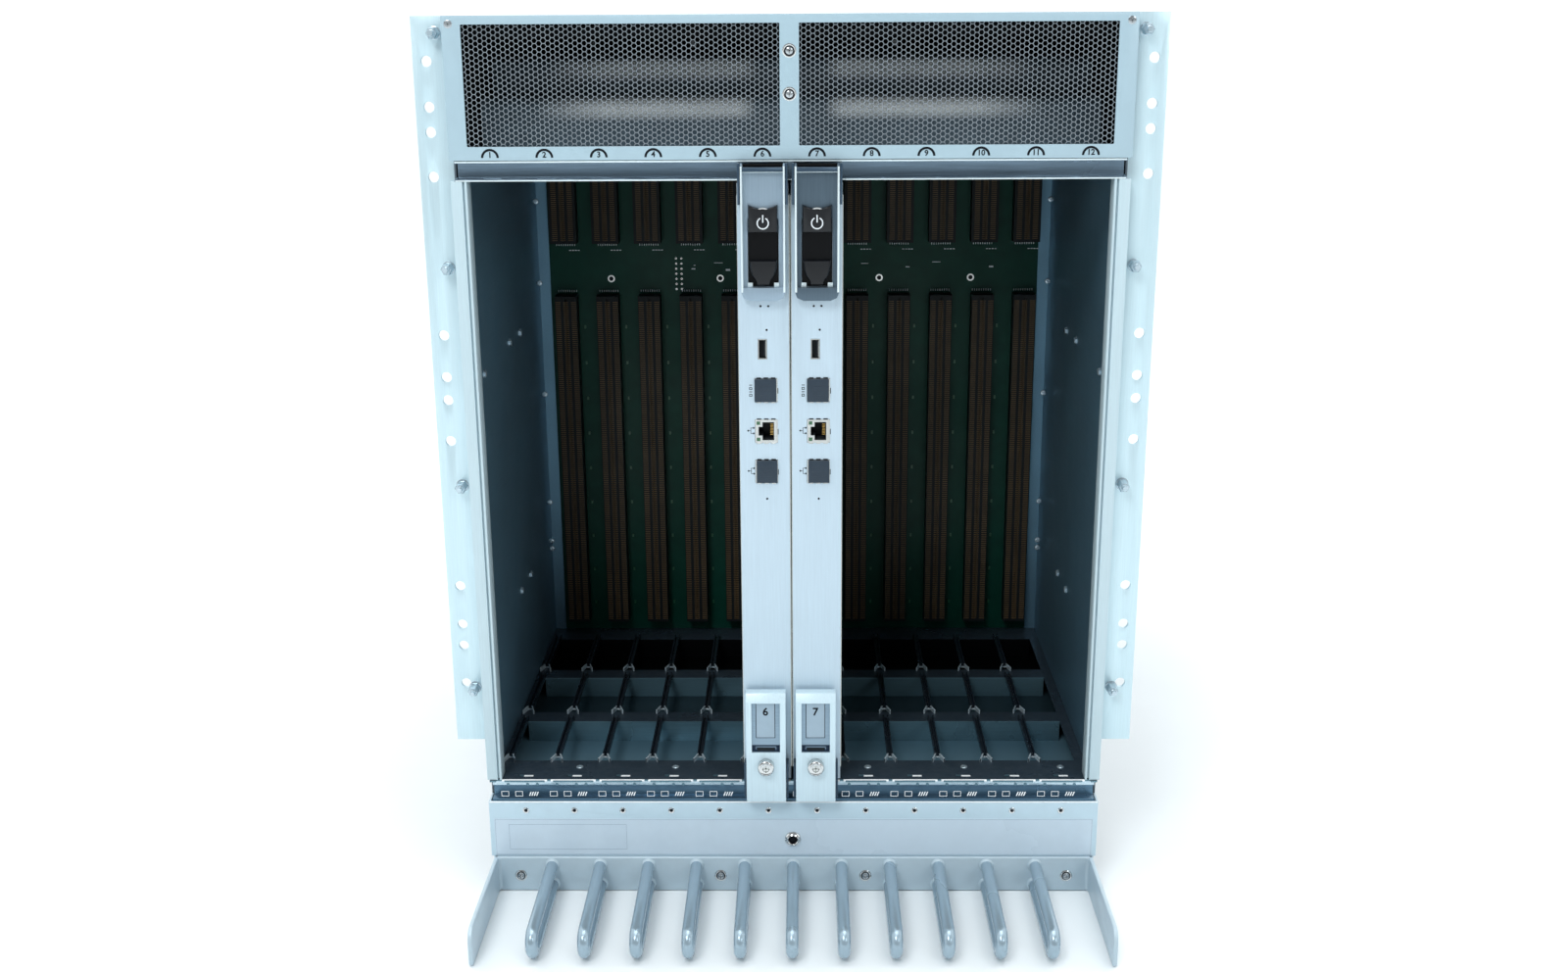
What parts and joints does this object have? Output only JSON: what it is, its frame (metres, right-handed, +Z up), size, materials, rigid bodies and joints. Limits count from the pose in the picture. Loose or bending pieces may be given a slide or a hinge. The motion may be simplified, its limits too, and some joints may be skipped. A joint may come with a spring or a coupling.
{
  "type": "modular chassis switch",
  "caption": "Tall rack-mounted switch chassis: open card cage with two control blades, hex-mesh air outlet above, cable comb below, blowers and power supplies at the back.",
  "frame": {"origin": "centre of the chassis' bottom face", "axes": "+X to the right seen from the front, +Y from the front into the chassis, +Z up"},
  "size_m": [0.4826, 0.7423, 0.6124],
  "materials": {
    "shell": "satin, dark blue-grey",
    "trim": "satin, pale blue-grey",
    "bare": "zinc-plated",
    "screen": "satin black mesh",
    "ears": "satin grey",
    "fasteners": "zinc-plated",
    "jack": "nickel-plated",
    "guides": "grey moulded",
    "midplane": "green laminate",
    "connectors": "dark grey moulded",
    "comb": "silver-grey",
    "faceplates": "satin grey",
    "gaskets": "spring strip",
    "trays": "zinc-plated",
    "boards": "green laminate",
    "sockets": "tinned shells",
    "caps": "black moulded",
    "levers": "satin grey",
    "sliders": "dark grey moulded",
    "blowers": "satin grey",
    "impellers": "black moulded",
    "supplies": "satin grey"
  },
  "bodies": {
    "chassis": {"side_wall_left": "shell", "side_wall_right": "shell", "top_cover": "shell", "bottom_pan": "shell", "upright_left": "trim", "upright_right": "trim", "cage_wall_left": "shell", "cage_wall_right": "shell", "vent_bezel": "trim", "vent_screens": "screen", "air_baffle": "bare", "top_rail": "bare", "bottom_rail": "bare", "lower_panel": "trim", "ground_jack": "jack", "cage_floor": "bare", "plenum_tray": "shell", "cage_ceiling": "bare", "lower_card_guides": "guides", "upper_card_guides": "guides", "midplane_board": "midplane", "lower_connectors": "connectors", "upper_connectors": "connectors", "cable_comb": "comb", "panel_screws": "fasteners", "rack_ear_left": "ears", "rack_ear_right": "ears", "ear_bolts": "fasteners", "rear_bay": "shell"},
    "blade_6": {"blade_6_faceplate": "faceplates", "blade_6_emi_gasket": "gaskets", "blade_6_carrier_tray": "trays", "blade_6_circuit_board": "boards", "blade_6_port_sockets": "sockets", "blade_6_dust_caps": "caps"},
    "upper_lever_6": {"blade_6_upper_lever": "levers"},
    "power_slider_6": {"blade_6_power_slider": "sliders"},
    "lower_lever_6": {"blade_6_lower_lever": "levers"},
    "thumbscrew_6": {"blade_6_thumbscrew": "fasteners"},
    "blade_7": {"blade_7_faceplate": "faceplates", "blade_7_emi_gasket": "gaskets", "blade_7_carrier_tray": "trays", "blade_7_circuit_board": "boards", "blade_7_port_sockets": "sockets", "blade_7_dust_caps": "caps"},
    "upper_lever_7": {"blade_7_upper_lever": "levers"},
    "power_slider_7": {"blade_7_power_slider": "sliders"},
    "lower_lever_7": {"blade_7_lower_lever": "levers"},
    "thumbscrew_7": {"blade_7_thumbscrew": "fasteners"},
    "blower_1": {"blower_1_housing": "blowers"},
    "impeller_1": {"impeller_1": "impellers"},
    "blower_2": {"blower_2_housing": "blowers"},
    "impeller_2": {"impeller_2": "impellers"},
    "blower_3": {"blower_3_housing": "blowers"},
    "impeller_3": {"impeller_3": "impellers"},
    "power_supply_1": {"power_supply_1": "supplies"},
    "power_supply_2": {"power_supply_2": "supplies"},
    "power_supply_3": {"power_supply_3": "supplies"},
    "power_supply_4": {"power_supply_4": "supplies"}
  },
  "joints": [
    {"name": "blade_6_pull", "type": "slide", "parent": "chassis", "child": "blade_6", "axis": [0, -1, 0], "range_m": [0, 0.4]},
    {"name": "blade_6_upper_lever_swing", "type": "hinge", "parent": "blade_6", "child": "upper_lever_6", "pos_m": [-0.01746, -0.31195, 0.517], "axis": [-1, 0, 0], "range_deg": [0, 45]},
    {"name": "blade_6_power_slider_travel", "type": "slide", "parent": "upper_lever_6", "child": "power_slider_6", "axis": [0, 0, 1], "range_m": [0, 0.008]},
    {"name": "blade_6_lower_lever_swing", "type": "hinge", "parent": "blade_6", "child": "lower_lever_6", "pos_m": [-0.01852, -0.31195, 0.082], "axis": [1, 0, 0], "range_deg": [0, 45]},
    {"name": "blade_6_thumbscrew_turn", "type": "hinge", "parent": "lower_lever_6", "child": "thumbscrew_6", "pos_m": [-0.01852, -0.31895, 0.1046], "axis": [0, 1, 0], "range_deg": [0, 720]},
    {"name": "blade_7_pull", "type": "slide", "parent": "chassis", "child": "blade_7", "axis": [0, -1, 0], "range_m": [0, 0.4]},
    {"name": "blade_7_upper_lever_swing", "type": "hinge", "parent": "blade_7", "child": "upper_lever_7", "pos_m": [0.01746, -0.31195, 0.517], "axis": [-1, 0, 0], "range_deg": [0, 45]},
    {"name": "blade_7_power_slider_travel", "type": "slide", "parent": "upper_lever_7", "child": "power_slider_7", "axis": [0, 0, 1], "range_m": [0, 0.008]},
    {"name": "blade_7_lower_lever_swing", "type": "hinge", "parent": "blade_7", "child": "lower_lever_7", "pos_m": [0.0164, -0.31195, 0.082], "axis": [1, 0, 0], "range_deg": [0, 45]},
    {"name": "blade_7_thumbscrew_turn", "type": "hinge", "parent": "lower_lever_7", "child": "thumbscrew_7", "pos_m": [0.0164, -0.31895, 0.1046], "axis": [0, 1, 0], "range_deg": [0, 720]},
    {"name": "blower_1_pull", "type": "slide", "parent": "chassis", "child": "blower_1", "axis": [0, 1, 0], "range_m": [0, 0.25]},
    {"name": "impeller_1_spin", "type": "hinge", "parent": "blower_1", "child": "impeller_1", "pos_m": [-0.143, 0.27595, 0.301], "axis": [0, 1, 0], "continuous": true},
    {"name": "blower_2_pull", "type": "slide", "parent": "chassis", "child": "blower_2", "axis": [0, 1, 0], "range_m": [0, 0.25]},
    {"name": "impeller_2_spin", "type": "hinge", "parent": "blower_2", "child": "impeller_2", "pos_m": [0, 0.27595, 0.301], "axis": [0, 1, 0], "continuous": true},
    {"name": "blower_3_pull", "type": "slide", "parent": "chassis", "child": "blower_3", "axis": [0, 1, 0], "range_m": [0, 0.25]},
    {"name": "impeller_3_spin", "type": "hinge", "parent": "blower_3", "child": "impeller_3", "pos_m": [0.143, 0.27595, 0.301], "axis": [0, 1, 0], "continuous": true},
    {"name": "power_supply_1_pull", "type": "slide", "parent": "chassis", "child": "power_supply_1", "axis": [0, 1, 0], "range_m": [0, 0.35]},
    {"name": "power_supply_2_pull", "type": "slide", "parent": "chassis", "child": "power_supply_2", "axis": [0, 1, 0], "range_m": [0, 0.35]},
    {"name": "power_supply_3_pull", "type": "slide", "parent": "chassis", "child": "power_supply_3", "axis": [0, 1, 0], "range_m": [0, 0.35]},
    {"name": "power_supply_4_pull", "type": "slide", "parent": "chassis", "child": "power_supply_4", "axis": [0, 1, 0], "range_m": [0, 0.35]}
  ]
}
